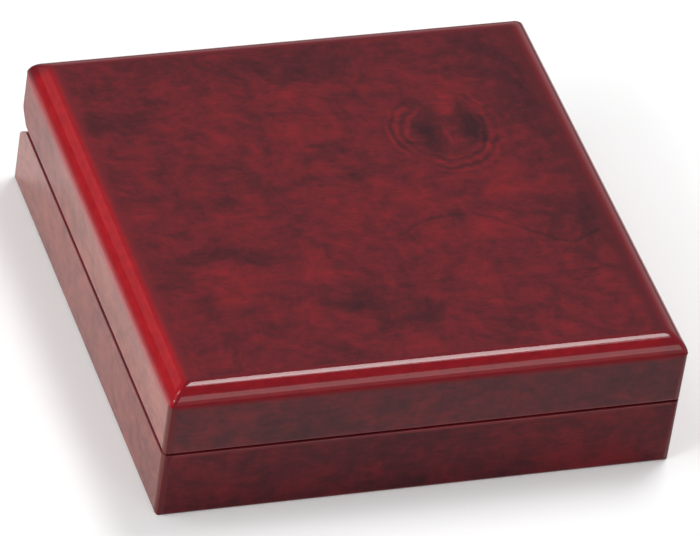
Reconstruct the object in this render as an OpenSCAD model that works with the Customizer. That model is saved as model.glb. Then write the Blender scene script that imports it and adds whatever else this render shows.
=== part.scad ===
// Hinged presentation case with a flat square body, a bullnosed lid and a lined interior.
// Millimetres. The origin is the middle of the underside, the front faces -Y and +Z is up.

/* [Case] */
// Outside width, left to right
box_w = 150; // [130:1:220]
// Outside depth, front to back
box_d = 150; // [130:1:220]
// Height of the base, up to its rim
base_h = 21.6; // [20.5:0.1:30]
// Height of the lid, from its rim to its top
lid_h = 21.2; // [20:0.1:30]
// Open line between the two rims when the lid is shut
rim_gap = 0.4; // [0.2:0.1:0.8]
// Thickness of the mitred walls
wall_t = 14; // [13.5:0.5:18]
// Radius of the upright corners
corner_r = 2.25; // [1:0.25:4]
// Radius that breaks the edges of rims and foot
arris_r = 0.9; // [0.4:0.1:1.2]

/* [Top panel and veneer] */
// Thickness of the lid's top panel
top_t = 4.7; // [4:0.1:7]
// Radius of the rounded nose round the top
nose_r = 6; // [3:0.1:8]
// Width of the bare red border round the top veneer
border_w = 6.5; // [6:0.1:15]
// Thickness of every veneer
veneer_t = 0.6; // [0.4:0.1:1]

/* [Rear notch] */
// How far the notch reaches in from the back and up or down from the rims
notch_d = 8; // [7:0.5:8.5]
// Radius of the notch's gently rounded faces
notch_r = 15; // [12:1:40]

/* [Bottom and lining] */
// Thickness of the floor panel
floor_t = 3; // [2:0.5:4]
// Width of the rebate that holds the floor panel
rebate_w = 6; // [3:0.5:9]
// Thickness of the felt under the floor panel
felt_t = 1.2; // [0.8:0.1:2]
// Thickness of the fabric-wrapped cards on the inner walls
liner_t = 1.2; // [0.8:0.1:2]
// Distance from a rim to the edge of its cards
liner_drop = 1.2; // [0.6:0.1:2]
// Clearance round a piece that is laid into its recess
laid_clear = 0.2; // [0.1:0.05:0.5]

/* [Insert] */
// Height of the block that carries the insert
support_h = 5; // [3:0.5:6]
// Height of the insert that holds the medal
insert_h = 7; // [4:0.5:7]
// Diameter of the round recess
recess_d = 71; // [40:1:80]
// Radius of the two finger notches at the recess
finger_r = 9; // [7:0.5:11]
// Clearance between the insert and the lining cards
insert_clear = 0.4; // [0.2:0.1:1]

/* [Lid pad] */
// Thickness of the card that the pad is glued to
board_t = 1.5; // [1:0.1:2.5]
// Thickness of the padded satin
pad_t = 6; // [4:0.5:7]
// Clearance between the pad and the lining cards
pad_clear = 0.5; // [0.3:0.1:1]

/* [Hinges] */
// Length of each butt hinge
hinge_len = 34; // [24:1:36]
// Distance from a side wall's inner face to the nearer end of a hinge
hinge_inset = 2; // [0.5:0.5:6]
// Thickness of the hinge leaves
leaf_t = 1.2; // [1:0.1:1.5]
// Rim left uncut between a leaf and the inside of the case
leaf_margin = 1; // [0.5:0.1:1.2]
// Distance of the pin's centre behind the notch's root
pin_back = 2; // [1.6:0.1:2.4]
// Radius of the knuckles
knuckle_r = 2; // [1.8:0.1:2.2]
// Number of knuckles on a hinge
knuckles = 5; // [3:2:7]
// Gap between neighbouring knuckles
knuckle_gap = 0.25; // [0.15:0.05:0.4]
// Radius of the pin
pin_r = 1; // [0.8:0.05:1.1]
// Running clearance round the pin in the lid's knuckles
pin_clear = 0.05; // [0.02:0.01:0.1]
// Clearance between the knuckles and the wood or leaf beside them
swing_clear = 0.3; // [0.2:0.05:0.5]

/* [Screws] */
// Radius of a screw's shank
screw_r = 0.8; // [0.6:0.05:0.9]
// Radius of a screw's countersunk head
head_r = 1.6; // [1.4:0.05:1.65]
// Length of a screw
screw_len = 8; // [6:0.5:10]
// Number of screws in a leaf
screws = 3; // [2:1:4]
// Distance of the outer screws from the ends of a leaf
screw_inset = 5.5; // [3:0.5:7]
// Clearance round a screw in the leaf and in its pilot hole
screw_clear = 0.05; // [0.02:0.01:0.1]

/* [Hidden] */
$fn = 96;

lacquer = [0.62, 0.07, 0.09];
burl = [0.37, 0.13, 0.14];
core = [0.45, 0.09, 0.10];
velour = [0.05, 0.06, 0.16];
satin = [0.91, 0.87, 0.78];
card = [0.62, 0.55, 0.45];
brass = [0.80, 0.62, 0.30];

// Heights
lid_z = base_h + rim_gap;
case_h = lid_z + lid_h;
panel_z = case_h - top_t;
top_inset = max(border_w, nose_r);
floor_z = felt_t;
well_z = floor_z + floor_t;
insert_z = well_z + support_h;
board_z = panel_z - board_t;
pad_z = board_z - pad_t;

// Plan sizes inside the walls
well_w = box_w - 2 * wall_t;
well_d = box_d - 2 * wall_t;
floor_w = well_w + 2 * rebate_w;
floor_d = well_d + 2 * rebate_w;
lined_w = well_w - 2 * liner_t;
lined_d = well_d - 2 * liner_t;

// Notch: the centre of its round face lies this far in and down from the wall's corner
notch_k = (notch_d + sqrt(2 * notch_r * notch_r - notch_d * notch_d)) / 2;

// Hinges, in a frame with the pin along X through the origin
pin_y = box_d / 2 - notch_d + pin_back;
pin_z = base_h + rim_gap / 2;
hinge_x = well_w / 2 - hinge_inset - hinge_len / 2;
leaf_face = rim_gap / 2;
leaf_reach = wall_t - notch_d - leaf_margin + pin_back;
screw_y = -pin_back - (leaf_reach - pin_back) / 2;
head_h = head_r - screw_r;
slot_w = head_r / 4;
pitch = hinge_len / knuckles;
screw_xs = [for (i = [0 : screws - 1]) (i / (screws - 1) - 0.5) * (hinge_len - 2 * screw_inset)];

// ---- Shared shapes ----

// Section with both top corners rounded, centred on X and standing on Y = 0
module round_over(length, height, r) {
    intersection() {
        translate([-length / 2, 0]) square([length, height]);
        union() {
            translate([r - length / 2, 0]) square([length - 2 * r, height]);
            if (height > r) translate([-length / 2, 0]) square([length, height - r]);
            for (s = [-1, 1]) translate([s * (length / 2 - r), height - r]) circle(r = r);
        }
    }
}

// Section with rounded top and foot corners
module edge_section(length, height, top_r, foot_r) {
    intersection() {
        round_over(length, height, top_r);
        translate([0, height]) mirror([0, 1]) round_over(length, height, foot_r);
    }
}

// Plan of the case, with its upright corners rounded
module case_plan() {
    square([box_w - 2 * corner_r, box_d], center = true);
    square([box_w, box_d - 2 * corner_r], center = true);
    for (x = [-1, 1], y = [-1, 1])
        translate([x * (box_w / 2 - corner_r), y * (box_d / 2 - corner_r)]) circle(r = corner_r);
}

// The four sides: a side's own frame has X along it, Y pointing inwards and Y = 0 on its outer face
SIDES = ["front", "right", "back", "left"];
function runs_x(side) = side == "front" || side == "back";
function side_length(side) = runs_x(side) ? box_w : box_d;
function side_offset(side) = runs_x(side) ? box_d / 2 : box_w / 2;
module on_side(side) {
    turn = search([side], SIDES)[0] * 90;
    rotate([0, 0, turn]) translate([0, -side_offset(side), 0]) children();
}

// Solid with the outside form of the case along one side, from height z up. The neighbours' edges
// aren't rounded in it, so no rounded edge ends in the plane of a mitre.
module side_form(side, z, height, top_r, foot_r) {
    translate([0, 0, z]) intersection() {
        rotate([90, 0, runs_x(side) ? 90 : 0]) linear_extrude(side_length(side), center = true)
            edge_section(2 * side_offset(side), height, top_r, foot_r);
        linear_extrude(height) case_plan();
    }
}
module base_form(side) {
    side_form(side, 0, base_h, arris_r, arris_r);
}
module lid_form(side) {
    side_form(side, lid_z, lid_h, nose_r, arris_r);
}

// Prism that cuts one mitred wall out of a form, between two heights
module mitre_prism(side, low_z, high_z) {
    half = side_length(side) / 2;
    on_side(side) translate([0, 0, low_z]) linear_extrude(high_z - low_z) polygon([
        [-half - 1, -1], [half + 1, -1], [half - wall_t, wall_t], [wall_t - half, wall_t]
    ]);
}

// Cut along the whole back at one rim: up is 1 for the base, whose wood is below, and -1 for the lid
module rear_notch(rim_z, up) {
    translate([0, box_d / 2, rim_z]) rotate([90, 0, 90]) linear_extrude(box_w + 2, center = true)
        mirror([0, up > 0 ? 0 : 1]) difference() {
            translate([-notch_d, -notch_d]) square([notch_d + 1, notch_d + 1]);
            translate([-notch_k, -notch_k]) circle(r = notch_r);
        }
}

// Veneer on one side, let in flush between the rounded corners
module side_veneer(side, low_z, high_z) {
    length = side_length(side) - 2 * corner_r;
    on_side(side) translate([-length / 2, 0, low_z]) cube([length, veneer_t, high_z - low_z]);
}

// Fabric-wrapped card on one inner wall; the side cards fit between the front and back ones
module liner(side, low_z, high_z) {
    shorter = runs_x(side) ? 0 : liner_t;
    length = side_length(side) - 2 * wall_t - 2 * shorter;
    on_side(side) translate([-length / 2, wall_t, low_z]) cube([length, liner_t, high_z - low_z]);
}

// Flat piece centred on the case
module slab(w, d, z, height) {
    translate([-w / 2, -d / 2, z]) cube([w, d, height]);
}

// ---- Hinge, with the pin along X through the origin and the base below ----

module along_pin(from_x, length, r) {
    translate([from_x, 0, 0]) rotate([0, 90, 0]) cylinder(r = r, h = length);
}

// One screw pointing down, with the flat of its head at Z = 0; grow widens it into its hole
module screw_body(grow) {
    translate([0, 0, -head_h]) cylinder(r1 = screw_r + grow, r2 = head_r + grow, h = head_h);
    translate([0, 0, screw_r - screw_len]) cylinder(r = screw_r + grow, h = screw_len - screw_r - head_h);
    translate([0, 0, -screw_len]) cylinder(r1 = screw_r / 4 + grow, r2 = screw_r + grow, h = screw_r);
}

module screw() {
    difference() {
        screw_body(0);
        for (turn = [0, 90])
            rotate([0, 0, turn]) translate([-head_r * 0.7, -slot_w / 2, -head_h * 0.6])
                cube([head_r * 1.4, slot_w, head_h]);
    }
}

module at_screws() {
    for (x = screw_xs) translate([x, screw_y, -leaf_face]) children();
}

// first is 0 for the leaf that owns the end knuckles and 1 for the other
module leaf(first, bore_r) {
    difference() {
        union() {
            translate([-hinge_len / 2, -leaf_reach, -leaf_face - leaf_t])
                cube([hinge_len, leaf_reach, leaf_t]);
            for (i = [first : 2 : knuckles - 1])
                along_pin(i * pitch + knuckle_gap / 2 - hinge_len / 2, pitch - knuckle_gap, knuckle_r);
        }
        for (i = [1 - first : 2 : knuckles - 1])
            along_pin(i * pitch - knuckle_gap / 2 - hinge_len / 2, pitch + knuckle_gap,
                      knuckle_r + swing_clear);
        along_pin(-hinge_len / 2 - 1, hinge_len + 2, bore_r);
        at_screws() screw_body(screw_clear);
    }
}

// What a hinge takes out of the wood below its rim: the leaf's mortise, room for the knuckles, pilot holes
module hinge_cuts() {
    length = hinge_len + 2 * laid_clear;
    translate([-length / 2, -leaf_reach - laid_clear, -leaf_face - leaf_t])
        cube([length, leaf_reach + laid_clear, leaf_t + 1]);
    along_pin(-length / 2, length, knuckle_r + swing_clear);
    at_screws() screw_body(screw_clear);
}

module hinge_pin() {
    along_pin(knuckle_gap / 2 - hinge_len / 2, hinge_len - knuckle_gap, pin_r);
}

// side is -1 for the left hinge and 1 for the right one; lid turns the shape over for the lid's half
module at_hinge(side, lid = false) {
    translate([side * hinge_x, pin_y, pin_z]) mirror([0, 0, lid ? 1 : 0]) children();
}

module base_leaf(side) {
    color(brass) at_hinge(side) leaf(0, pin_r);
}
module lid_leaf(side) {
    color(brass) at_hinge(side, lid = true) leaf(1, pin_r + pin_clear);
}
module pin(side) {
    color(brass) at_hinge(side) hinge_pin();
}
module base_screws(side) {
    color(brass) at_hinge(side) at_screws() screw();
}
module lid_screws(side) {
    color(brass) at_hinge(side, lid = true) at_screws() screw();
}

// ---- Base ----

module base_wall(side) {
    color(core) difference() {
        intersection() {
            base_form(side);
            mitre_prism(side, -1, base_h + 1);
        }
        side_veneer(side, arris_r, base_h - arris_r);
        slab(floor_w, floor_d, -1, well_z + 1);
        rear_notch(base_h, 1);
        if (side == "back") for (s = [-1, 1]) at_hinge(s) hinge_cuts();
    }
}

module base_veneer(side) {
    color(burl) difference() {
        side_veneer(side, arris_r, base_h - arris_r);
        rear_notch(base_h, 1);
    }
}

module base_liner(side) {
    color(velour) liner(side, well_z, base_h - liner_drop);
}

module base_floor_panel() {
    color(card) slab(floor_w - 2 * laid_clear, floor_d - 2 * laid_clear, floor_z, floor_t);
}

module underside_felt() {
    color(velour) slab(floor_w - 2 * laid_clear, floor_d - 2 * laid_clear, 0, felt_t);
}

module insert_support() {
    color(velour) slab(lined_w - 2 * insert_clear, lined_d - 2 * insert_clear, well_z, support_h);
}

module medal_insert() {
    color(velour) difference() {
        slab(lined_w - 2 * insert_clear, lined_d - 2 * insert_clear, insert_z, insert_h);
        translate([0, 0, insert_z - 1]) cylinder(r = recess_d / 2, h = insert_h + 2);
        for (s = [-1, 1])
            translate([s * recess_d / 2, 0, insert_z - 1]) cylinder(r = finger_r, h = insert_h + 2);
    }
}

// ---- Lid ----

module lid_wall(side) {
    color(core) difference() {
        intersection() {
            lid_form(side);
            mitre_prism(side, lid_z - 1, panel_z);
        }
        side_veneer(side, lid_z + arris_r, panel_z);
        rear_notch(lid_z, -1);
        if (side == "back") for (s = [-1, 1]) at_hinge(s, lid = true) hinge_cuts();
    }
}

module lid_veneer(side) {
    color(burl) difference() {
        intersection() {
            side_veneer(side, lid_z + arris_r, panel_z);
            lid_form(side);
        }
        rear_notch(lid_z, -1);
    }
}

module lid_liner(side) {
    color(satin) liner(side, lid_z + liner_drop, panel_z);
}

module lid_top_panel() {
    color(lacquer) difference() {
        intersection() {
            lid_form("front");
            lid_form("right");
            slab(box_w + 2, box_d + 2, panel_z, top_t + 1);
        }
        slab(box_w - 2 * top_inset, box_d - 2 * top_inset, case_h - veneer_t, veneer_t + 1);
    }
}

module lid_top_veneer() {
    color(burl) slab(box_w - 2 * top_inset, box_d - 2 * top_inset, case_h - veneer_t, veneer_t);
}

module lid_pad_board() {
    color(card) slab(lined_w - 2 * pad_clear, lined_d - 2 * pad_clear, board_z, board_t);
}

module lid_satin_pad() {
    color(satin) slab(lined_w - 2 * pad_clear, lined_d - 2 * pad_clear, pad_z, pad_t);
}

// ---- Nodes ----

for (side = SIDES) {
    base_wall(side);
    base_veneer(side);
    base_liner(side);
    lid_wall(side);
    lid_veneer(side);
    lid_liner(side);
}
base_floor_panel();
underside_felt();
insert_support();
medal_insert();
lid_top_panel();
lid_top_veneer();
lid_pad_board();
lid_satin_pad();
for (hinge = [["left", -1], ["right", 1]]) {
    base_leaf(hinge[1]);
    lid_leaf(hinge[1]);
    pin(hinge[1]);
    base_screws(hinge[1]);
    lid_screws(hinge[1]);
}
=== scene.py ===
import math

import bmesh
import bpy
from mathutils import Matrix, Vector


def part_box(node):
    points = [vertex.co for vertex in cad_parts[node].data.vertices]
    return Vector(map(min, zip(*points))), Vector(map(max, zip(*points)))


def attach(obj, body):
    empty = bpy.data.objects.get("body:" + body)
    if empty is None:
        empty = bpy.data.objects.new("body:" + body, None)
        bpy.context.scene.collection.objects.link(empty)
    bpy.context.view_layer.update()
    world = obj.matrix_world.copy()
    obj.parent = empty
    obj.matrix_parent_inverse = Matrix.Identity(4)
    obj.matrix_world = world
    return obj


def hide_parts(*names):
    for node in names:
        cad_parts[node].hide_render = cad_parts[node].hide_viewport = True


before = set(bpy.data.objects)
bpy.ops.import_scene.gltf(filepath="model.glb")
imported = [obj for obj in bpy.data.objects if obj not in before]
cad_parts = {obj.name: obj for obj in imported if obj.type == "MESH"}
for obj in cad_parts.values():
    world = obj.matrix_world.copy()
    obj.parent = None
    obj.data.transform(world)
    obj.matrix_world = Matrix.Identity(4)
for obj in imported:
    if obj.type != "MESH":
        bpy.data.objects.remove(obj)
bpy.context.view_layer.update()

MM = 0.001
CASE = 150.0
SIDES = ("front", "right", "back", "left")
NOSE_R = 6 * MM
RECESS_R = 35.5 * MM
FINGER_R = 9 * MM
# Points this near count as one
WELD = 0.001 * MM
# A point this near a face counts as on it
TOUCH = 0.01 * MM
PANEL_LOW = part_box("lid_top_panel")[0].z
CASE_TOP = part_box("lid_top_panel")[1].z


# ---- Finishes ----

class Nodes:
    """A node tree, wired by short calls; a value is a number, a tuple or another node's output."""

    def __init__(self, tree):
        self.tree = tree

    def add(self, kind, *values, **settings):
        node = self.tree.nodes.new(kind)
        for key, value in settings.items():
            setattr(node, key, value)
        for socket, value in zip(node.inputs, values):
            self.plug(socket, value)
        return node

    def plug(self, socket, value):
        if isinstance(value, bpy.types.NodeSocket):
            self.tree.links.new(value, socket)
        elif value is not None:
            socket.default_value = value

    def math(self, operation, *values):
        return self.add("ShaderNodeMath", *values, operation=operation).outputs[0]

    def product(self, first, *others):
        for other in others:
            first = self.math("MULTIPLY", first, other)
        return first

    def total(self, start, parts):
        """start plus each part times its weight."""
        for part, weight in parts:
            start = self.math("MULTIPLY_ADD", part, weight, start)
        return start

    def fade(self, value, low, high, start=0.0, end=1.0):
        """Smooth step of value from low to high, as start to end."""
        node = self.add("ShaderNodeMapRange", value, low, high, start, end)
        node.interpolation_type = "SMOOTHSTEP"
        return node.outputs[0]

    def blend(self, share, first, second):
        """A number that goes from the first to the second by share."""
        node = self.add("ShaderNodeMix")
        for index, value in ((0, share), (2, first), (3, second)):
            self.plug(node.inputs[index], value)
        return node.outputs[0]

    def axis(self, place, axis):
        return self.add("ShaderNodeSeparateXYZ", place).outputs[axis]

    def rays(self, *kinds):
        """1 for these kinds of ray, and 0 for the rest."""
        path = self.add("ShaderNodeLightPath")
        value = path.outputs[kinds[0]]
        for kind in kinds[1:]:
            value = self.math("MAXIMUM", value, path.outputs[kind])
        return value


class Finish(Nodes):
    """One node material whose patterns sit on Object coordinates, in millimetres."""

    def __init__(self, name, **shader):
        self.material = bpy.data.materials.new(name)
        self.material.use_nodes = True
        super().__init__(self.material.node_tree)
        self.shader = self.tree.nodes["Principled BSDF"]
        for socket, value in shader.items():
            self.set(socket.replace("_", " "), value)
        where = self.add("ShaderNodeTexCoord").outputs["Object"]
        self.place = self.vector("MULTIPLY", where, (1 / MM,) * 3)
        self.x, self.y, self.z = (self.axis(self.place, axis) for axis in "XYZ")

    def set(self, name, value):
        if isinstance(value, tuple) and len(value) == 3:
            value = (*value, 1)
        self.plug(self.shader.inputs[name], value)

    def vector(self, operation, *values):
        node = self.add("ShaderNodeVectorMath", *values, operation=operation)
        return node.outputs["Value" if operation == "LENGTH" else "Vector"]

    def stretched(self, place, *factors):
        return self.vector("MULTIPLY", place, factors)

    def noise(self, place, scale, detail=3.0, roughness=0.5, output="Fac"):
        node = self.add("ShaderNodeTexNoise")
        self.plug(node.inputs["Vector"], place)
        node.inputs["Scale"].default_value = scale
        node.inputs["Detail"].default_value = detail
        node.inputs["Roughness"].default_value = roughness
        return node.outputs[output]

    def varied(self, tone, noises, weights):
        """tone plus each noise, taken about its middle, times its weight."""
        centred = [self.math("SUBTRACT", noise, 0.5) for noise in noises]
        return self.total(tone, zip(centred, weights))

    def warp(self, place, scale, amount, detail=2.0):
        """place, pushed about by a noise up to amount millimetres."""
        drift = self.noise(place, scale, detail, output="Color")
        centred = self.vector("SUBTRACT", drift, (0.5, 0.5, 0.5))
        return self.vector("MULTIPLY_ADD", centred, (amount * 2,) * 3, place)

    def spot(self, place, x, y, width, depth, edge=0.15):
        """1 in the middle of an ellipse in plan, falling to 0 at its edge."""
        inside = self.vector("MULTIPLY_ADD", place, (2 / width, 2 / depth, 0),
                             (-2 * x / width, -2 * y / depth, 0))
        return self.fade(self.vector("LENGTH", inside), edge, 1.0, 1.0, 0.0)

    def ramp(self, value, *stops):
        node = self.add("ShaderNodeValToRGB", value)
        points = node.color_ramp.elements
        while len(points) < len(stops):
            points.new(0.5)
        for point, (position, colour) in zip(points, stops):
            point.position = position
            point.color = (*colour, 1)
        return node.outputs["Color"]

    def mix(self, share, first, second):
        """A colour that goes from the first to the second by share."""
        node = self.add("ShaderNodeMix", data_type="RGBA")
        for index, value in ((0, share), (6, first), (7, second)):
            if isinstance(value, tuple):
                value = (*value, 1)
            self.plug(node.inputs[index], value)
        return node.outputs[2]

    def bump(self, height, strength, distance):
        node = self.add("ShaderNodeBump")
        self.plug(node.inputs["Height"], height)
        node.inputs["Strength"].default_value = strength
        node.inputs["Distance"].default_value = distance
        self.set("Normal", node.outputs["Normal"])


LACQUER = {
    "Roughness": 0.4, "Coat_Weight": 1.0, "Coat_Roughness": 0.075, "Coat_IOR": 1.36, "Specular_IOR_Level": 0.0
}
DEEP_RED = (0.095, 0.0080, 0.0130)
BRIGHT_RED = (0.190, 0.0105, 0.0165)

# Brighter and darker patches of the top: x, y, width, depth and how much brighter
TOP_PATCHES = (
    (-33, 28, 34, 18, 0.16), (-6, 33, 30, 20, 0.17), (36.5, 36, 11, 14, 0.15), (50, 1, 40, 22, 0.17),
    (30, -18, 34, 14, 0.15), (-20, -28, 16, 26, 0.15), (-45, -32, 36, 24, 0.16),
    (10, -1, 60, 26, 0.08), (22, 33, 12, 18, 0.10), (-30, -47, 46, 12, 0.06),
    (-60, 42, 34, 16, -0.22), (-46, 50, 26, 12, -0.12), (0, 61, 70, 20, -0.15),
    (-37, 3, 11, 12, -0.20), (-44, -20, 46, 9, -0.22), (-15, -42, 20, 18, -0.20),
    (2, -52, 40, 14, -0.16), (62, 40, 16, 60, -0.12), (64, -18, 14, 26, -0.18),
    (4, 8, 20, 9, -0.10), (-2, 20, 22, 9, -0.14), (56, -52, 30, 14, -0.08)
)
# The same for the front of the base: x, width and how much brighter
BASE_FRONT_PATCHES = ((2, 50, -0.12), (52, 44, 0.12))
# Course of the wavy dark line over the top's right half: x and y
WAVY_LINE = ((8, -18), (15, -14), (25, -12), (33, -13), (40, -18), (47, -23), (55, -28), (63, -25), (70, -22))


def burl_figure(finish, grain):
    """Broad cloud, mottle, streak and fibre of a burl; grain squeezes the last two along it."""
    swirled = finish.warp(finish.warp(finish.place, 0.025, 8), 0.12, 2.4)
    along = finish.stretched(swirled, *grain)
    fine = finish.stretched(finish.place, *grain)
    return (finish.noise(swirled, 0.05, 4.0, 0.6), finish.noise(swirled, 0.17, 7.0, 0.68),
            finish.noise(along, 0.30, 6.0, 0.68), finish.noise(fine, 1.1, 4.0, 0.7))


def burl_colour(finish, tone, fleck):
    """Deep red-brown to bright red by tone, with flecks darkened."""
    colour = finish.ramp(tone, (0.0, (0.040, 0.009, 0.013)), (0.3, (0.085, 0.0120, 0.0165)),
                         (0.55, (0.150, 0.0140, 0.0190)), (0.8, (0.230, 0.0150, 0.0200)),
                         (1.0, (0.300, 0.0180, 0.0210)))
    return finish.mix(fleck, colour, (0.030, 0.0085, 0.012))


def knot(finish, tone):
    """Rings in the knot's nearer half, two dark lobes, and a red wedge and spindle between them."""
    near = finish.warp(finish.warp(finish.place, 0.045, 3.0), 0.13, 1.6, 3.0)
    x = finish.axis(near, "X")
    y = finish.axis(near, "Y")
    wide, deep = 15.5, 18.0
    spread = finish.vector("MULTIPLY_ADD", near, (1 / wide, 1 / deep, 0), (-34.5 / wide, -25.5 / deep, 0))

    # 1 at the outer ring
    r = finish.vector("LENGTH", spread)
    slip = finish.noise(finish.place, 0.16, 3.0, 0.6)
    ring = finish.math("SINE", finish.total(0.0, [(r, 34.0), (slip, 7.0)]))
    worn = finish.fade(finish.noise(finish.place, 0.11, 2.0, 0.5), 0.38, 0.56)
    shown = finish.product(finish.fade(r, 0.5, 0.72), finish.fade(r, 1.3, 0.95),
                           finish.fade(finish.y, 44, 34), worn)
    lobes = finish.math("MAXIMUM", finish.spot(near, 29, 24.5, 9.5, 21, 0.1),
                        finish.spot(near, 42.5, 25.0, 11, 23, 0.1))
    across = finish.math("ABSOLUTE", finish.math("SUBTRACT", x, 35.3))
    opening = finish.math("MULTIPLY", finish.math("SUBTRACT", y, 25.0), 0.36)
    wedge = finish.product(finish.fade(finish.math("SUBTRACT", across, opening), 1.2, -1.0),
                           finish.fade(y, 23, 27), finish.fade(r, 1.25, 0.8))
    spindle = finish.spot(near, 34.6, 23.5, 3.0, 11, 0.2)
    open_lobes = finish.product(lobes, finish.math("SUBTRACT", 1.0, wedge))
    return finish.total(tone, [(finish.product(ring, shown), 0.16), (finish.fade(r, 1.05, 0.75), -0.05),
                               (open_lobes, -0.40), (wedge, 0.11), (spindle, 0.24)])


def dark_lines(finish, tone, loose):
    """The wavy dark line, whose height is a curve over x, and two short ones."""
    curve = finish.add("ShaderNodeFloatCurve", 1.0, finish.math("MULTIPLY_ADD", finish.x, 1 / CASE, 0.5))
    line = curve.mapping.curves[0].points
    line[0].location = (0.0, 0.3)
    line[1].location = (1.0, 0.36)
    for x, y in WAVY_LINE:
        line.new(x / CASE + 0.5, y / CASE + 0.5)
    curve.mapping.update()
    height = finish.math("MULTIPLY", finish.math("SUBTRACT", curve.outputs[0], 0.5), CASE)
    rough_y = finish.axis(finish.warp(finish.place, 0.25, 0.9, 3.0), "Y")
    above = finish.math("SUBTRACT", rough_y, height)
    band = finish.product(finish.fade(above, -0.8, 0.1), finish.fade(above, 1.9, 0.1),
                          finish.fade(finish.x, 4, 14))
    second = finish.spot(finish.warp(finish.place, 0.2, 1.2, 3.0), 53, -40.5, 26, 3.4, 0.1)
    curl = finish.spot(loose, -4, 24.5, 15, 3.2, 0.1)
    return finish.total(tone, [(band, -0.17), (second, -0.13), (curl, -0.16)])


def top_burl():
    """Burl of the top: patches, a knot, dark lines, and a darker tone along the back and right."""
    finish = Finish("top_burl", **LACQUER)
    loose = finish.warp(finish.place, 0.05, 5.5, 3.0)
    tone = finish.total(0.45, [(finish.spot(loose, *patch), lift) for *patch, lift in TOP_PATCHES])
    tone = finish.varied(tone, burl_figure(finish, (0.16, 1.6, 1.0)), (0.50, 1.10, 0.32, 0.28))
    tone = knot(finish, tone)
    tone = dark_lines(finish, tone, loose)
    edges = finish.math("MAXIMUM", finish.fade(finish.y, 42, 74), finish.fade(finish.x, 56, 76))
    right = finish.product(finish.fade(finish.x, 44, 62), finish.fade(finish.y, -45, -20))
    tone = finish.total(tone, [(edges, -0.10), (right, -0.09)])
    flecks = finish.noise(finish.stretched(finish.place, 0.35, 1.6, 1.0), 0.5, 4.0, 0.65)
    colour = burl_colour(finish, tone, finish.fade(flecks, 0.62, 0.76, 0.0, 0.55))
    colour = finish.mix(finish.fade(finish.x, -65.5, -68.7, 0.0, 0.9), colour, (0.160, 0.0140, 0.0195))
    colour = finish.mix(finish.fade(finish.x, 64.5, 68.0, 0.0, 0.8), colour, (0.088, 0.0120, 0.0165))
    finish.set("Base Color", colour)
    return finish


def side_burl(name, grain, base, pale, gloss, beside_nose):
    """Burl of one pair of sides, a shade plainer than the top's; pale lifts its light patches, and how far
    it lifts them changes between lid and base and from front to back, as painted reflection and shade.
    The border's red runs over the burl's upper edge, and the base is less polished than the lid."""
    finish = Finish(name, **LACQUER)
    finish.set("Coat IOR", gloss)
    on_lid = finish.fade(finish.z, 21.0, 22.0)
    on_base = finish.fade(finish.z, 22.0, 21.0)
    tone = finish.varied(base, burl_figure(finish, grain), (0.7, 0.9, 0.5, 0.4))
    for x, width, lift in BASE_FRONT_PATCHES:
        patch = finish.spot(finish.place, x, -CASE / 2, width, 60)
        tone = finish.total(tone, [(finish.product(patch, on_base), lift)])
    flecks = finish.noise(finish.place, 0.5, 4.0, 0.65)
    colour = burl_colour(finish, tone, finish.fade(flecks, 0.6, 0.75, 0.0, 0.1 if pale else 0.4))
    if pale:
        # Painted reflection and shade: the lift is strongest on the lid's front and the base's back, weakest
        # on the lid's back
        back = finish.fade(finish.y, 5, 70)
        lid_back = finish.product(on_lid, back)
        base_front = finish.product(on_base, finish.fade(finish.y, -10, -70))
        share = finish.total(0.74, [(on_lid, 0.30), (back, 0.28), (lid_back, -0.72)])
        pale_lift_and_painted_light = finish.product(finish.fade(tone, 0.1, 0.85, 0.40 * pale, pale), share)
        colour = finish.mix(pale_lift_and_painted_light, colour, (0.530, 0.172, 0.128))
        near_nose = finish.fade(finish.z, 35.2, 37.8, 0.0, 0.85)
        finish.set("Coat Weight", finish.total(1.0, [(lid_back, -0.30), (base_front, -0.16)]))
    else:
        near_nose = finish.fade(finish.z, 36.6, 38.8, 0.0, 0.7)
        finish.set("Coat Weight", finish.fade(finish.z, 21.0, 22.0, 0.55, 1.0))
    finish.set("Base Color", finish.mix(near_nose, colour, beside_nose))
    return finish


def wall_lacquer(name, grain, corner):
    """Stained straight-grained wood under gloss lacquer; grain squeezes the pattern along its length, and
    the rounded upright corners take the colour of the burl beside them."""
    finish = Finish(name, **LACQUER)
    along = finish.stretched(finish.warp(finish.place, 0.05, 1.5), *grain)
    streak = finish.noise(along, 0.55, 4.0, 0.6)
    cloud = finish.noise(finish.place, 0.05, 2.0, 0.5)
    tone = finish.total(0.0, [(streak, 0.55), (cloud, 0.45)])
    nearer = finish.math("MINIMUM", finish.math("ABSOLUTE", finish.x), finish.math("ABSOLUTE", finish.y))
    at_corner = finish.fade(nearer, 72.2, 72.7)
    colour = finish.ramp(tone, (0.36, DEEP_RED), (0.64, BRIGHT_RED))
    finish.set("Base Color", finish.mix(at_corner, colour, corner))
    finish.set("Coat Weight", finish.fade(at_corner, 0.0, 1.0, 1.0, 0.55))
    return finish


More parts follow.
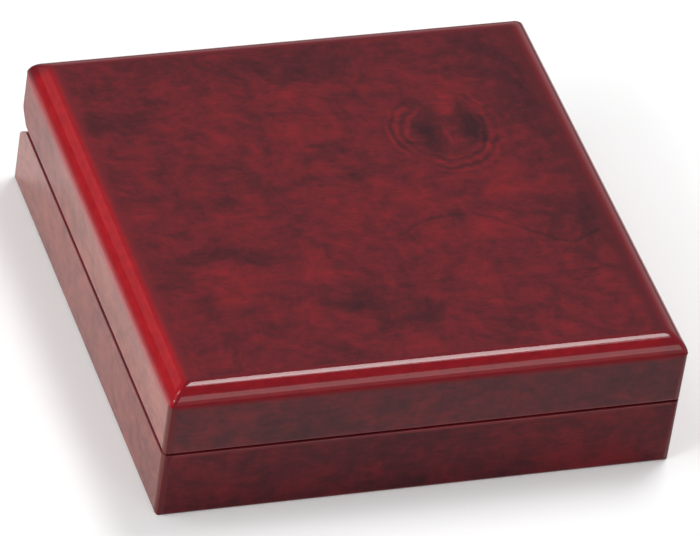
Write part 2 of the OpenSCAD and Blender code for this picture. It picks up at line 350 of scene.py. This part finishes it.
def nose_lacquer():
    """Red of the bullnose: bright on the end grain at left and right, deeper at front and back, and
    darker where it meets the burl. The right and back are darkened further, as painted shade on the sides
    turned from the key light."""
    finish = Finish("bullnose_lacquer", **LACQUER)
    streak = finish.noise(finish.stretched(finish.place, 0.5, 0.5, 1.5), 0.5, 4.0, 0.6)
    tone = finish.fade(streak, 0.3, 0.7)
    x = finish.math("ABSOLUTE", finish.x)
    y = finish.math("ABSOLUTE", finish.y)
    at_ends = finish.fade(finish.math("SUBTRACT", x, y), -0.5, 0.5)
    at_lengths = finish.fade(finish.math("SUBTRACT", y, x), -0.5, 0.5)
    right = finish.fade(finish.x, 66.0, 68.5)
    end_grain = finish.mix(tone, (0.320, 0.0100, 0.0160), (0.400, 0.0130, 0.0190))
    long_grain = finish.mix(tone, (0.195, 0.0085, 0.0140), (0.250, 0.0105, 0.0165))
    # Painted shade: the end grain darkens towards the right, and towards the back
    shade = finish.math("MAXIMUM", finish.fade(finish.x, -60, 74, 0.0, 0.75), finish.fade(finish.y, 66, 72))
    colour = finish.mix(at_ends, long_grain, finish.mix(shade, end_grain, (0.215, 0.0120, 0.0190)))
    # Painted shade on the back of the nose
    colour = finish.mix(finish.fade(finish.y, 64, 73, 0.0, 0.6), colour, (0.110, 0.0100, 0.0150))
    # Painted shade on the right of the nose
    colour = finish.mix(finish.math("MULTIPLY", right, 0.8), colour, (0.165, 0.0110, 0.0170))
    beside = finish.mix(at_ends, (0.105, 0.0130, 0.0180), (0.150, 0.0140, 0.0195))
    beside = finish.mix(right, beside, (0.095, 0.0120, 0.0165))
    at_burl = finish.fade(finish.math("MAXIMUM", x, y), 68.2, 71.2, 0.9, 0.0)
    colour = finish.mix(at_burl, colour, beside)
    low = finish.product(finish.fade(finish.z, 38.2, 40.0, 0.45, 0.0), at_lengths)
    finish.set("Base Color", finish.mix(low, colour, (0.150, 0.0100, 0.0160)))
    return finish


def velour(name, deep, bright):
    """Short pile: soft brushed patches, a fuzzy fibre and a sheen."""
    finish = Finish(name, Roughness=0.9, Specular_IOR_Level=0.15, Sheen_Weight=0.9, Sheen_Roughness=0.35)
    brushed = finish.noise(finish.warp(finish.place, 0.05, 6), 0.07, 3.0, 0.55)
    fibre = finish.noise(finish.place, 3.2, 3.0, 0.7)
    tone = finish.total(0.0, [(brushed, 0.6), (fibre, 0.4)])
    finish.set("Base Color", finish.ramp(tone, (0.36, deep), (0.66, bright)))
    finish.bump(fibre, 0.35, 0.25 * MM)
    return finish


def satin(name, deep, bright):
    """Satin weave: long floating threads along X, crossed at short intervals, on soft folds of tone."""
    finish = Finish(name, Roughness=0.30, Specular_IOR_Level=0.5, Sheen_Weight=0.2, Sheen_Roughness=0.4)
    cloud = finish.noise(finish.place, 0.06, 2.0, 0.5)
    slub = finish.noise(finish.stretched(finish.place, 0.12, 1.0, 1.0), 2.0, 3.0, 0.6)
    threads = finish.add("ShaderNodeTexWave", finish.place, 1.1, wave_type="BANDS", bands_direction="Y")
    crossing = finish.add("ShaderNodeTexWave", finish.place, 0.9, wave_type="BANDS",
                          bands_direction="DIAGONAL")
    weave = finish.math("MULTIPLY_ADD", crossing.outputs["Fac"], 0.35, threads.outputs["Fac"])
    tone = finish.total(0.0, [(cloud, 0.20), (slub, 0.16), (weave, 0.06)])
    finish.set("Base Color", finish.ramp(tone, (0.12, deep), (0.34, bright)))
    finish.bump(weave, 0.15, 0.05 * MM)
    return finish


def felt():
    """Matted black fibre."""
    finish = Finish("black_felt", Roughness=0.95, Specular_IOR_Level=0.1, Sheen_Weight=0.5,
                    Sheen_Roughness=0.6)
    matted = finish.noise(finish.warp(finish.place, 0.6, 0.8), 1.6, 5.0, 0.75)
    finish.set("Base Color", finish.ramp(matted, (0.32, (0.018, 0.018, 0.021)), (0.7, (0.052, 0.050, 0.056))))
    finish.bump(matted, 0.6, 0.3 * MM)
    return finish


def board():
    """Pulp board, as under the felt and behind the pad."""
    finish = Finish("grey_board", Roughness=0.8, Specular_IOR_Level=0.2)
    pulp = finish.noise(finish.place, 0.9, 6.0, 0.7)
    finish.set("Base Color", finish.ramp(pulp, (0.3, (0.30, 0.24, 0.17)), (0.7, (0.44, 0.36, 0.27))))
    finish.bump(pulp, 0.2, 0.1 * MM)
    return finish


def brass():
    """Polished brass with fine brush marks along X and a little tarnish."""
    finish = Finish("polished_brass", Metallic=1.0)
    brushed = finish.noise(finish.stretched(finish.place, 0.15, 3.0, 3.0), 1.4, 4.0, 0.6)
    tarnish = finish.noise(finish.place, 0.35, 4.0, 0.6)
    finish.set("Base Color", finish.ramp(tarnish, (0.35, (0.60, 0.40, 0.14)), (0.6, (0.83, 0.62, 0.27))))
    finish.set("Roughness", finish.fade(brushed, 0.3, 0.7, 0.16, 0.34))
    finish.bump(brushed, 0.12, 0.03 * MM)
    return finish


TOP_BURL = top_burl()
BURL = {
    "front": side_burl("front_burl", (0.2, 1.0, 1.5), 0.36, 0.0, 1.29, BRIGHT_RED),
    "left": side_burl("left_burl", (1.0, 0.2, 1.5), 0.48, 0.72, 1.36, (0.400, 0.0300, 0.0300))
}
NOSE = nose_lacquer()
WALL = {
    "front": wall_lacquer("front_wall_lacquer", (0.1, 1.0, 1.0), (0.115, 0.0125, 0.0170)),
    "left": wall_lacquer("left_wall_lacquer", (1.0, 0.1, 1.0), (0.170, 0.0450, 0.0400))
}
NAVY = velour("navy_velour", (0.006, 0.008, 0.030), (0.020, 0.026, 0.085))
CREAM = satin("cream_satin", (0.66, 0.60, 0.48), (0.78, 0.72, 0.60))
FELT = felt()
BOARD = board()
BRASS = brass()


# ---- Pieces ----

def like(side):
    """The finish of the front goes on the back too, and the left's on the right."""
    return "front" if side in ("front", "back") else "left"


def dress_node(node, finish):
    """A CAD node that stays gets a finish of its own."""
    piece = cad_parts[node]
    if not piece.material_slots:
        piece.data.materials.append(finish.material)
    for held in piece.material_slots:
        held.material = finish.material


def smooth(piece, angle=30):
    """Round faces shade smoothly and flat ones stay flat."""
    for face in piece.data.polygons:
        face.use_smooth = True
    piece.data.set_sharp_from_angle(angle=math.radians(angle))
    level = piece.modifiers.new("even_normals", "WEIGHTED_NORMAL")
    level.keep_sharp = True


def add_piece(name, shape, finish, body, nodes=(), angle=30):
    """A finished piece from a bmesh, in place, riding on its body."""
    mesh = bpy.data.meshes.new(name)
    shape.to_mesh(mesh)
    shape.free()
    if "custom_normal" in mesh.attributes:
        mesh.attributes.remove(mesh.attributes["custom_normal"])
    mesh.materials.clear()
    mesh.materials.append(finish.material)
    piece = bpy.data.objects.new(name, mesh)
    bpy.context.scene.collection.objects.link(piece)
    smooth(piece, angle)
    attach(piece, body)
    if nodes:
        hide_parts(*nodes)
    return piece


def copy_of(node):
    """A merged copy of a CAD node's mesh."""
    shape = bmesh.new()
    shape.from_mesh(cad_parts[node].data)
    bmesh.ops.remove_doubles(shape, verts=shape.verts, dist=WELD)
    return shape


def block(low, high):
    """A box between two corners, as the start of a shape."""
    shape = bmesh.new()
    bmesh.ops.create_cube(shape, size=1)
    size = [b - a for a, b in zip(low, high)]
    middle = [(a + b) / 2 for a, b in zip(low, high)]
    bmesh.ops.scale(shape, verts=shape.verts, vec=size)
    bmesh.ops.translate(shape, verts=shape.verts, vec=middle)
    return shape


def soften(shape, edges, radius, segments):
    """Round edges off."""
    bmesh.ops.bevel(shape, geom=edges, affect="EDGES", offset=radius, segments=segments, profile=0.5,
                    material=-1)


def bullnose_panel():
    """The lid's top panel: mitred bullnose, rounded corners, and a recess for the veneer."""
    lid_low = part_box("lid_front_wall")[0].z
    half = CASE * MM / 2
    shape = block((-half, -half, lid_low), (half, half, CASE_TOP))
    top = [edge for edge in shape.edges if all(v.co.z > PANEL_LOW for v in edge.verts)]
    soften(shape, top, NOSE_R, 18)
    corners = []
    for edge in shape.edges:
        on_mitre = all(abs(abs(v.co.x) - abs(v.co.y)) < WELD for v in edge.verts)
        if on_mitre and edge.calc_face_angle(0) > math.radians(7):
            corners.append(edge)
    soften(shape, corners, 1.3 * MM, 8)
    everything = shape.verts[:] + shape.edges[:] + shape.faces[:]
    cut = bmesh.ops.bisect_plane(shape, geom=everything, plane_co=(0, 0, PANEL_LOW), plane_no=(0, 0, 1),
                                 clear_inner=True)
    rim = [item for item in cut["geom_cut"] if isinstance(item, bmesh.types.BMEdge)]
    bmesh.ops.edgeloop_fill(shape, edges=rim)
    flat = max(shape.faces, key=lambda face: face.calc_area() * face.normal.z)
    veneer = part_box("lid_top_veneer")
    border = half - NOSE_R - veneer[1].x
    bmesh.ops.inset_region(shape, faces=[flat], thickness=border, use_even_offset=True)
    floor = bmesh.ops.extrude_discrete_faces(shape, faces=[flat])["faces"]
    bmesh.ops.translate(shape, verts=floor[0].verts, vec=(0, 0, veneer[0].z - CASE_TOP))
    bmesh.ops.recalc_face_normals(shape, faces=shape.faces)
    return add_piece("bullnose_panel", shape, NOSE, "lid", ["lid_top_panel"])


def woodwork():
    """Walls and their veneers, smooth over the rounded edges."""
    for half in ("base", "lid"):
        for side in SIDES:
            for node, name, finishes, slot in (("wall", "rail", WALL, "lacquered_wood"),
                                               ("veneer", "burl", BURL, "burl_veneer")):
                node = f"{half}_{side}_{node}"
                add_piece(f"{half}_{side}_{name}", copy_of(node), finishes[like(side)], half, [node])
    dress_node("lid_top_veneer", TOP_BURL)


def lining_cards():
    """Fabric-wrapped cards on the inner walls, with rolled edges."""
    for half, finish, cloth in (("base", NAVY, "velour"), ("lid", CREAM, "satin")):
        for side in SIDES:
            node = f"{half}_{side}_liner"
            low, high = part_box(node)
            shape = block(low, high)
            across = 1 if side in ("front", "back") else 0
            middle = (low[across] + high[across]) / 2
            inward = -1 if middle > 0 else 1
            front = [e for e in shape.edges if all((v.co[across] - middle) * inward > 0 for v in e.verts)]
            soften(shape, front, 0.55 * MM, 4)
            add_piece(f"{half}_{side}_card", shape, finish, half, [node])


def evaluated(piece, helpers=()):
    """The piece's mesh with its modifiers applied, as a bmesh; the piece and its helpers are removed."""
    bpy.context.view_layer.update()
    graph = bpy.context.evaluated_depsgraph_get()
    shape = bmesh.new()
    shape.from_mesh(bpy.data.meshes.new_from_object(piece.evaluated_get(graph)))
    for leftover in (piece, *helpers):
        bpy.data.objects.remove(leftover)
    return shape


def scratch(name, shape):
    """An object with that shape and nothing else."""
    mesh = bpy.data.meshes.new(name)
    shape.to_mesh(mesh)
    shape.free()
    piece = bpy.data.objects.new(name, mesh)
    bpy.context.scene.collection.objects.link(piece)
    return piece


def medal_insert():
    """Velour insert with a round recess, two finger notches and rolled edges."""
    low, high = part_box("medal_insert")
    slab = scratch("slab", block(low, high))
    cutters = []
    for x, radius, segments in ((0, RECESS_R, 96), (-RECESS_R, FINGER_R, 48), (RECESS_R, FINGER_R, 48)):
        hole = bmesh.new()
        bmesh.ops.create_cone(hole, cap_ends=True, segments=segments, radius1=radius, radius2=radius,
                              depth=20 * MM)
        bmesh.ops.translate(hole, verts=hole.verts, vec=(x, 0, (low.z + high.z) / 2))
        cutter = scratch("cutter", hole)
        cut = slab.modifiers.new("cut", "BOOLEAN")
        cut.object = cutter
        cut.solver = "EXACT"
        cutters.append(cutter)
    shape = evaluated(slab, cutters)
    rim = []
    for edge in shape.edges:
        level = all(v.co.z > high.z - TOUCH for v in edge.verts)
        if level and edge.calc_face_angle(0) > math.radians(45):
            rim.append(edge)
    soften(shape, rim, 1.1 * MM, 6)
    add_piece("velour_insert", shape, NAVY, "base", ["medal_insert"], 40)
    low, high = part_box("insert_support")
    shape = block(low, high)
    soften(shape, shape.edges[:], 0.6 * MM, 4)
    add_piece("recess_cushion", shape, NAVY, "base", ["insert_support"])


def satin_pad():
    """Puffed satin over wadding on the lid's card, blown up as cloth and held at the card."""
    low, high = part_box("lid_satin_pad")
    inset = 0.5 * MM
    sag = 2.6 * MM
    shape = block((low.x + inset, low.y + inset, low.z + sag), (high.x - inset, high.y - inset, high.z))
    upright = [e for e in shape.edges if abs(e.verts[0].co.z - e.verts[1].co.z) > MM]
    soften(shape, upright, 3.5 * MM, 4)
    bottom = [e for e in shape.edges if all(v.co.z < low.z + sag + TOUCH for v in e.verts)]
    soften(shape, bottom, 1.2 * MM, 3)
    pad = scratch("wadding", shape)
    remesh = pad.modifiers.new("even", "REMESH")
    remesh.mode = "VOXEL"
    remesh.voxel_size = 1.7 * MM
    pad = scratch("wadding", evaluated(pad))
    held = pad.vertex_groups.new(name="held")
    start = [v.co.copy() for v in pad.data.vertices]
    held.add([v.index for v in pad.data.vertices if v.co.z > high.z - 0.9 * MM], 1.0, "REPLACE")
    cloth = pad.modifiers.new("cloth", "CLOTH")
    cloth.settings.quality = 6
    cloth.settings.mass = 0.12
    cloth.settings.tension_stiffness = 12
    cloth.settings.compression_stiffness = 8
    cloth.settings.bending_stiffness = 0.08
    cloth.settings.use_pressure = True
    cloth.settings.uniform_pressure_force = 4
    cloth.settings.vertex_group_mass = "held"
    cloth.settings.effector_weights.gravity = 0
    cloth.settings.shrink_min = -0.025
    cloth.collision_settings.use_collision = False
    for step in range(1, 21):
        bpy.context.scene.frame_set(step)
    shape = evaluated(pad)
    most = 2.4 * MM
    for vertex, before in zip(shape.verts, start):
        moved = vertex.co - before
        if moved.length > most:
            vertex.co = before + moved.normalized() * most
    bpy.context.scene.frame_set(1)
    piece = add_piece("satin_pad", shape, CREAM, "lid", ["lid_satin_pad"], 60)
    rounder = piece.modifiers.new("rounder", "SUBSURF")
    rounder.levels = 1
    rounder.render_levels = 1


def hinges():
    """Two brass butt hinges, each with two leaves, a pin and screws."""
    for end in ("left", "right"):
        for part in ("base_leaf", "lid_leaf", "pin", "base_screws", "lid_screws"):
            node = f"{end}_hinge_{part}"
            body = "lid" if part.startswith("lid") else "base"
            add_piece(f"{end}_brass_{part}", copy_of(node), BRASS, body, [node], 35)


def underside():
    """Felt under the base, and the two boards."""
    low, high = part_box("underside_felt")
    shape = block(low, high)
    soften(shape, shape.edges[:], 0.35 * MM, 3)
    pad = add_piece("felt_underlay", shape, FELT, "base", ["underside_felt"])
    dress_node("base_floor_panel", BOARD)
    dress_node("lid_pad_board", BOARD)


bullnose_panel()
woodwork()
lining_cards()
medal_insert()
satin_pad()
hinges()
underside()


# ---- Floor, light and camera ----

def pale_floor():
    """Matt floor that keeps the case's shadow, and is white to the camera past the lamps' reach. In the
    lacquer's reflections it dims away from the case."""
    shape = bmesh.new()
    bmesh.ops.create_grid(shape, x_segments=1, y_segments=1, size=4)
    floor = scratch("pale_floor", shape)
    finish = Finish("pale_floor", Base_Color=(0.90, 0.90, 0.90), Roughness=0.9, Specular_IOR_Level=0.0)
    distance = finish.math("MAXIMUM", finish.math("ABSOLUTE", finish.x), finish.math("ABSOLUTE", finish.y))
    glow = finish.math("MULTIPLY", finish.rays("Is Camera Ray", "Is Glossy Ray", "Is Transmission Ray"), 0.12)
    far = finish.fade(distance, 400, 1400, 0.0, 0.8)
    glow = finish.math("MULTIPLY_ADD", far, finish.rays("Is Camera Ray", "Is Transmission Ray"), glow)
    glowing = finish.add("ShaderNodeEmission", None, glow).outputs[0]
    lit = finish.add("ShaderNodeAddShader", finish.shader.outputs[0], glowing).outputs[0]
    dark = finish.add("ShaderNodeEmission", None, 0.0).outputs[0]
    mirrored = finish.product(finish.fade(distance, 105, 235, 0.0, 0.78), finish.rays("Is Glossy Ray"))
    shown = finish.add("ShaderNodeMixShader", mirrored, lit, dark).outputs[0]
    finish.plug(finish.tree.nodes["Material Output"].inputs["Surface"], shown)
    floor.data.materials.append(finish.material)


def studio_world():
    """White to the camera. What gloss sees is white at the horizon, and dims upwards and to the left."""
    world = bpy.data.worlds.new("studio")
    bpy.context.scene.world = world
    world.use_nodes = True
    sky = Nodes(world.node_tree)
    backdrop = sky.tree.nodes["Background"]
    backdrop.inputs["Color"].default_value = (1, 1, 1, 1)
    towards = sky.add("ShaderNodeTexCoord").outputs["Generated"]
    height = sky.axis(towards, "Z")
    mirrored = sky.product(sky.fade(height, 0.20, 0.55, 0.8, 0.3), sky.fade(height, 0.68, 0.82, 1.0, 0.35),
                           sky.fade(sky.axis(towards, "X"), -0.35, 0.35, 0.12, 1.0))
    strength = sky.blend(sky.rays("Is Glossy Ray"), 0.27, mirrored)
    strength = sky.blend(sky.rays("Is Camera Ray", "Is Transmission Ray"), strength, 1.0)
    sky.plug(backdrop.inputs["Strength"], strength)


def soft_light(name, direction, distance, width, height, radiance, across=None):
    """A soft box in that direction from the case, facing it; radiance is what a mirror shows of it, and
    its width runs along across, or level."""
    data = bpy.data.lights.new(name, "AREA")
    data.shape = "RECTANGLE"
    data.size = width
    data.size_y = height
    data.energy = radiance * width * height * math.pi
    lamp = bpy.data.objects.new(name, data)
    bpy.context.scene.collection.objects.link(lamp)
    aim = Vector(direction).normalized()
    level = Vector(across) if across else Vector((0, 0, 1)).cross(aim)
    along = (level - aim * level.dot(aim)).normalized()
    turn = Matrix((along, aim.cross(along), aim)).transposed().to_4x4()
    lamp.matrix_world = Matrix.Translation(aim * distance + AIM_POINT) @ turn


AIM_POINT = Vector((0, 0, 30 * MM))
KEY = (-0.74, -0.20, 0.65)
LEFT_REAR = (-0.38, 0.71, 0.58)
# Each: direction from the case, distance, width, height, radiance and what its width runs along
LIGHTS = {
    "key_light": (KEY, 1.7, 1.3, 1.3, 0.85),
    "key_middle": (KEY, 1.7, 0.85, 0.85, 1.95),
    "key_core": ((-0.733, -0.318, 0.601), 1.7, 0.35, 0.35, 12.0),
    "ridge_box": ((-0.38, 0.06, 0.92), 1.7, 0.45, 0.45, 5.0),
    "rear_soft_box": ((0.310, 0.270, 0.911), 1.7, 0.52, 0.60, 12.5, (0.84, -0.54, 0)),
    "rear_tail_box": ((0.310, 0.090, 0.946), 1.7, 0.50, 0.36, 3.5, (0.84, -0.54, 0)),
    "left_rear_panel": (LEFT_REAR, 1.9, 1.10, 0.6, 0.45, (0.89, 0, 0.45)),
    "left_rear_core": (LEFT_REAR, 1.9, 0.75, 0.5, 0.45, (0.89, 0, 0.45)),
    "front_strip": ((0.30, -0.827, 0.476), 1.7, 0.5, 0.74, 2.4, (1, 0, 0))
}

pale_floor()
studio_world()
for name, values in LIGHTS.items():
    soft_light(name, *values)

lens = bpy.data.cameras.new("camera")
lens.sensor_width = 36
lens.lens = 381.26
lens.clip_start = 0.05
camera = bpy.data.objects.new("camera", lens)
bpy.context.scene.collection.objects.link(camera)
camera.matrix_world = Matrix((
    (0.94852874, 0.09520497, -0.30204180, -629.394 * MM),
    (-0.29198128, 0.63223780, -0.71765054, -1500.017 * MM),
    (0.12263834, 0.76890271, 0.62749379, 1328.689 * MM),
    (0, 0, 0, 1)
))
bpy.context.scene.camera = camera
bpy.context.scene.view_settings.view_transform = "Standard"
